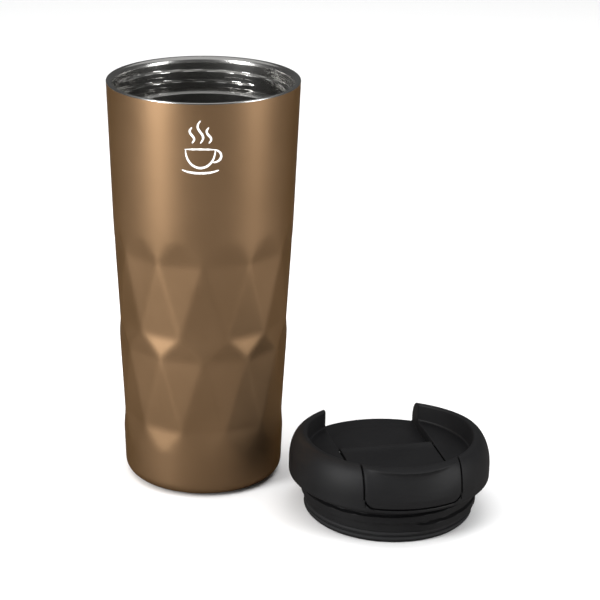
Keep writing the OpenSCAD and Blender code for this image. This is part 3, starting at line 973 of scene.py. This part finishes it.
SPOUT_R = 6.5
SPOUT_Y = -26.0
VENT_R = 1.5
VENT_Y = -11.0


def platform_loop(side):
    r = RING_IN_R + 0.6
    first = math.asin(CHANNEL_HALF / r)
    return [
        (side * r * math.sin(a), -r * math.cos(a))
        for a in spread(first, math.pi - first, 48)
    ]


def deck_piece():
    """The deck and both platforms as one moulding."""
    deck = plate_from(
        "deck",
        [
            circle(0, 0, RING_IN_R + 1),
            circle(0, SPOUT_Y, SPOUT_R, 64),
            circle(0, VENT_Y, VENT_R, 32),
        ],
        CHANNEL_Z - DECK_T, CHANNEL_Z - SKIN_GAP, 0.35,
    )
    sides = [
        plate_from(f"side_{k}", [platform_loop(k)], CHANNEL_Z - 1, PLATFORM_Z - SKIN_GAP, 0.35)
        for k in (-1, 1)
    ]
    work = bmesh.new()
    for mesh in (deck, *sides):
        work.from_mesh(mesh)
    joined = bpy.data.meshes.new("deck_plate")
    work.to_mesh(joined)
    work.free()
    joined.materials.clear()
    joined.materials.append(plastic)
    joined.shade_smooth()
    joined.set_sharp_from_angle(angle=math.radians(35))
    piece = bpy.data.objects.new("deck_plate", joined)
    bpy.context.scene.collection.objects.link(piece)
    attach(piece, "lid")
    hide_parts("lid_collar")
    print("deck_plate:", len(joined.polygons), "faces")


deck_piece()

# %% [markdown]
# ## The plug, its thread and the seals
#
# Below the deck the lid narrows to a threaded cup, with a silicone band round its foot that
# lands on the liner's seat, and a flat gasket that meets the lip. All three are turned. The
# plug's thread pushes the wall's points out along the same kind of helix as the neck's.

# %% Turn the plug and the seals
THREAD_CLEAR = 0.5
PLUG_R = NECK_R - THREAD_CLEAR - THREAD_H
PLUG_IN_R = PLUG_R - 2.2
GROOVE_R = PLUG_R - 1.2
BAND_FOOT = 0.6
BAND_TOP = BAND_FOOT + 4.6
RIM_GASKET_T = 1.3
RIM_GASKET_INSET = 1.5
PLUG_RIDGE_HALF_W = 1.85
PLUG_THREAD_Z = BAND_TOP + 1.4
PLUG_THREAD_TURNS = (LID_FOOT_Z - RIM_GASKET_T - 1.4 - PLUG_THREAD_Z) / THREAD_PITCH


def plug_outline():
    wall = [(PLUG_R, z) for z in spread(BAND_TOP + 0.05, LID_FOOT_Z - RIM_GASKET_T, 50)]
    foot = [(PLUG_IN_R, 0), (PLUG_R - 1.1, 0), (PLUG_R - 0.9, 0.1), (PLUG_R - 0.4, BAND_FOOT)]
    groove = [(GROOVE_R, BAND_FOOT), (GROOVE_R, BAND_TOP), (PLUG_R - 0.15, BAND_TOP)]
    top = CHANNEL_Z - DECK_T
    return foot + groove + wall + [(PLUG_R, top), (PLUG_IN_R, top), (PLUG_IN_R, 0.2)]


def plug_radius(r, z, angle):
    on_wall = abs(r - PLUG_R) < 0.001 and z < LID_FOOT_Z - RIM_GASKET_T
    if not on_wall:
        return r
    return r + thread_height(angle, z, PLUG_THREAD_Z, 0, PLUG_THREAD_TURNS, PLUG_RIDGE_HALF_W)


plug_skin = turned(plug_outline(), 216, LID, radius_at=plug_radius)
as_piece("threaded_plug", plug_skin, "lid", ["lid_plug"], plastic)


def band_outline():
    lip_r = PLUG_R + THREAD_CLEAR - 0.25
    waist_r = lip_r - 0.9
    low, high = BAND_FOOT, BAND_TOP
    mid = (low + high) / 2
    outline = [(GROOVE_R, low), (waist_r, low)]
    outline += arc(waist_r, low + 1.15, lip_r - waist_r, 0.95, -90, 90, 10)
    outline += arc(waist_r, high - 1.15, lip_r - waist_r, 0.95, -90, 90, 10)
    return outline + [(waist_r, high), (GROOVE_R, high), (GROOVE_R, mid)]


def gasket_outline():
    low, high = LID_FOOT_Z - RIM_GASKET_T, LID_FOOT_Z
    outer = RIM_R - RIM_GASKET_INSET
    outline = [(PLUG_R, low), (outer - 0.4, low)]
    outline += arc(outer - 0.4, low + 0.4, 0.4, 0.4, -90, 0, 5)[1:]
    return outline + [(outer, high), (PLUG_R, high)]


band_skin = turned(band_outline(), 160, LID)
as_piece("seal_band", band_skin, "lid", ["plug_gasket"], silicone)
gasket_skin = turned(gasket_outline(), 160, LID)
as_piece("lip_gasket", gasket_skin, "lid", ["rim_gasket"], silicone)

# %% [markdown]
# ## The flap
#
# The flap is one moulding: a plate that lies in the channel, a barrel at its rear edge that
# turns on the pin, and a tab that fills the gap in the ring. The tab carries the ring's own
# outline, but in its middle the crest runs out to a ledge for the thumb with a shallow dish
# below it. The whole flap is one outline that changes across its width, so it is lofted
# from side to side.

# %% Outline of the flap at a distance across
FLAP_HALF = CHANNEL_HALF - FLAP_GAP
PLATE_T = 2.4
BARREL_R = 2.0
LEDGE = [
    (0.00, 42.40, 21.90), (0.22, 41.85, 24.60), (0.45, 40.95, 27.90), (0.62, 40.15, 30.60),
    (0.72, 39.85, 32.10), (0.77, 40.05, 32.95), (0.81, 40.35, 33.45), (0.85, 40.25, 33.85),
    (0.90, 39.45, 34.15), (1.00, 35.90, 34.60),
]


def ledge_point(share):
    """Point of the thumb ledge's outline in the tab's middle."""
    for (s0, r0, z0), (s1, r1, z1) in zip(LEDGE, LEDGE[1:]):
        if share <= s1:
            t = (share - s0) / (s1 - s0)
            return r0 + (r1 - r0) * t, z0 + (z1 - z0) * t
    return LEDGE[-1][1:]


def tab_foot(x):
    off = abs(x) - (FLAP_HALF - TAB_CORNER_R)
    if off <= 0:
        return TAB_FOOT_Z
    return TAB_FOOT_Z + TAB_CORNER_R - math.sqrt(max(0, TAB_CORNER_R**2 - off**2))


def flap_outline(x):
    """Points of (distance from the lid's centre line, height) at x across the flap."""
    def on_ring(r, z):
        return -math.sqrt(r * r - x * x), z

    weight = max(0.0, 1 - (x / (FLAP_HALF - 1)) ** 2) ** 0.8
    foot = min(tab_foot(x), PLATFORM_Z - PLATE_T)
    points = [on_ring(COLLAR_R, z) for z in spread(min(foot, DOME_Z), DOME_Z, 8)[:-1]]
    for share in spread(0, 1, 34):
        base, ledge = dome_point(share), ledge_point(share)
        mixed = [b + (g - b) * weight for b, g in zip(base, ledge)]
        if mixed[1] >= foot:
            points.append(on_ring(*mixed))
        else:
            points.append(on_ring(COLLAR_R, foot))
    crest = arc(DOME_IN_R, COLLAR_TOP - LIP_R, LIP_R, LIP_R, 90, 180, 6)[1:]
    points += [on_ring(*p) for p in crest]
    points += [on_ring(COLLAR_IN_R, z) for z in spread(COLLAR_TOP - 3, PLATFORM_Z + 0.8, 3)]
    fillet = arc(COLLAR_IN_R - 0.8, PLATFORM_Z + 0.8, 0.8, 0.8, 0, -90, 5)[1:]
    points += [on_ring(*p) for p in fillet]
    front_y = points[-1][0]
    rise = math.asin((PLATFORM_Z - PIN_Z) / BARREL_R)
    drop = math.asin((PIN_Z - PLATFORM_Z + PLATE_T) / BARREL_R)
    join_y = PIN_Y - BARREL_R * math.cos(rise)
    points += [(y, PLATFORM_Z) for y in spread(front_y, join_y, 8)[1:]]
    first, last = 180 - math.degrees(rise), -180 + math.degrees(drop)
    over = arc(PIN_Y, PIN_Z, BARREL_R, BARREL_R, first, last, 24)
    points += over[1:]
    under = PLATFORM_Z - PLATE_T
    back_y = -math.sqrt(TAB_IN_R**2 - x * x)
    points += [(y, under) for y in spread(over[-1][0], back_y, 8)[1:]]
    points += [(back_y, z) for z in spread(under, foot, 6)[1:]]
    return points


def flap_skin():
    skin = Skin()
    outlines = []
    for x in corner_stations(FLAP_HALF, TAB_CORNER_R, 30):
        outlines.append([(LID_X + x, LID_Y + y, z) for y, z in flap_outline(x)])
    skin.loft(outlines, closed_row=False)
    skin.face(outlines[0])
    skin.face(outlines[-1])
    return skin


flap = as_piece("drinking_flap", flap_skin(), "flap", ["flap"], plastic)
round_edges(flap, 0.35)

# %% [markdown]
# ## The stoppers
#
# Two silicone stoppers under the plate close the drinking hole and the vent. They show only
# when the flap is open. Each is a turned button with a rounded nose.

# %% Turn the stoppers
def stopper_outline(hole_r):
    nose_r = hole_r - 0.4
    seat = CHANNEL_Z + 0.15
    flange_r = hole_r + 1.6
    top = PLATFORM_Z - PLATE_T
    outline = [(0, seat - 1.4), (nose_r - 0.7, seat - 1.4)]
    outline += arc(nose_r - 0.5, seat - 0.9, 0.4, 0.45, -80, 0, 5)
    outline += [(nose_r, seat), (flange_r - 0.6, seat)]
    outline += arc(flange_r - 0.4, seat + 0.35, 0.4, 0.35, -80, 0, 5)
    return outline + [(flange_r, top), (0, top)]


for name, node, hole_r, hole_y in (
    ("spout_button", "spout_stopper", SPOUT_R, SPOUT_Y),
    ("vent_button", "vent_stopper", VENT_R, VENT_Y),
):
    button = turned(stopper_outline(hole_r), 72, (LID_X, LID_Y + hole_y))
    as_piece(name, button, "flap", [node], silicone)

# %% [markdown]
# ## Pieces that stay as CAD made them
#
# The pin, the plug's cover and the pieces in the vacuum gap already have their true shape.
# They only get a finish. Most are out of sight, but a cut-away would show them.

# %% Give the CAD nodes their finish
def dress(node, finish):
    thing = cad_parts[node]
    thing.data.materials.clear()
    thing.data.materials.append(finish)


for node, finish in {
    "outer_base": brushed_steel, "vacuum_seal": getter_metal, "getter": getter_metal,
    "getter_cup": brushed_steel, "foil_shield": copper_foil, "hinge_pin": brushed_steel,
    "plug_cover": plastic,
}.items():
    dress(node, finish)
print("dressed the CAD nodes that stay")

# %% [markdown]
# ## Floor and light
#
# A plain pale floor runs past the edge of the view. Two wide panels overhead give the soft
# base light. The stronger one is left out of reflections, so that the black lid stays dark,
# and the weaker one is what the rims and the deck mirror. A tall panel on the left draws the
# long highlight down the tumbler, and a weaker one on the right gives the second. The floor
# shows pale to the camera but darker in reflections, as black cards beside a set would make
# it, so the metal keeps its depth.

# %% Floor
def make_floor():
    mesh = bpy.data.meshes.new("floor")
    size = 8.0
    mesh.from_pydata(
        [(-size, -size, 0), (size, -size, 0), (size, size, 0), (-size, size, 0)],
        [], [(0, 1, 2, 3)],
    )
    floor = bpy.data.objects.new("floor", mesh)
    bpy.context.scene.collection.objects.link(floor)
    paper = bpy.data.materials.new("pale_paper")
    paper.use_nodes = True
    nodes, links = paper.node_tree.nodes, paper.node_tree.links
    pale = nodes["Principled BSDF"]
    pale.inputs["Base Color"].default_value = (0.93, 0.93, 0.93, 1)
    pale.inputs["Roughness"].default_value = 0.9
    pale.inputs["Specular IOR Level"].default_value = 0.0
    # Painted dark reflection: glossy rays see the floor in this dark colour, which stands in for
    # the shade of black cards beside a set.
    reflected_floor_shade = nodes.new("ShaderNodeBsdfDiffuse")
    reflected_floor_shade.inputs["Color"].default_value = (0.16, 0.15, 0.14, 1)
    path = nodes.new("ShaderNodeLightPath")
    mixed = nodes.new("ShaderNodeMixShader")
    links.new(path.outputs["Is Glossy Ray"], mixed.inputs[0])
    links.new(pale.outputs[0], mixed.inputs[1])
    links.new(reflected_floor_shade.outputs[0], mixed.inputs[2])
    links.new(mixed.outputs[0], nodes["Material Output"].inputs["Surface"])
    mesh.materials.append(paper)
    return floor


make_floor()

# %% Lights
def panel(name, place, target, width, height, watts):
    light = bpy.data.lights.new(name, "AREA")
    light.shape = "RECTANGLE"
    light.size = width
    light.size_y = height
    light.energy = watts
    lamp = bpy.data.objects.new(name, light)
    lamp.location = place
    aim = [t - p for t, p in zip(target, place)]
    flat = math.hypot(aim[0], aim[1])
    lamp.rotation_euler = (
        math.pi / 2 + math.atan2(aim[2], flat), 0, math.atan2(-aim[0], aim[1]) if flat else 0
    )
    bpy.context.scene.collection.objects.link(lamp)
    return lamp


panel("overhead_sheen", (0.05, 0.1, 1.5), (0.05, 0.1, 0), 2.4, 2.4, 10)
overhead = panel("overhead", (0.05, 0.1, 1.6), (0.05, 0.1, 0), 2.4, 2.4, 34)
overhead.visible_glossy = False
panel("left_panel", (-0.84, -0.43, 0.42), (0, 0, 0.1), 0.34, 0.9, 13)
panel("right_panel", (0.84, -0.66, 0.4), (0.03, 0, 0.1), 0.4, 0.8, 8)

ROOM_LIGHT = 0.10
world = bpy.data.worlds.new("studio")
world.use_nodes = True
world.node_tree.nodes["Background"].inputs["Color"].default_value = (1, 1, 1, 1)
world.node_tree.nodes["Background"].inputs["Strength"].default_value = ROOM_LIGHT
bpy.context.scene.world = world
bpy.context.scene.view_settings.view_transform = "Standard"
print("floor, four panels and a dim studio")
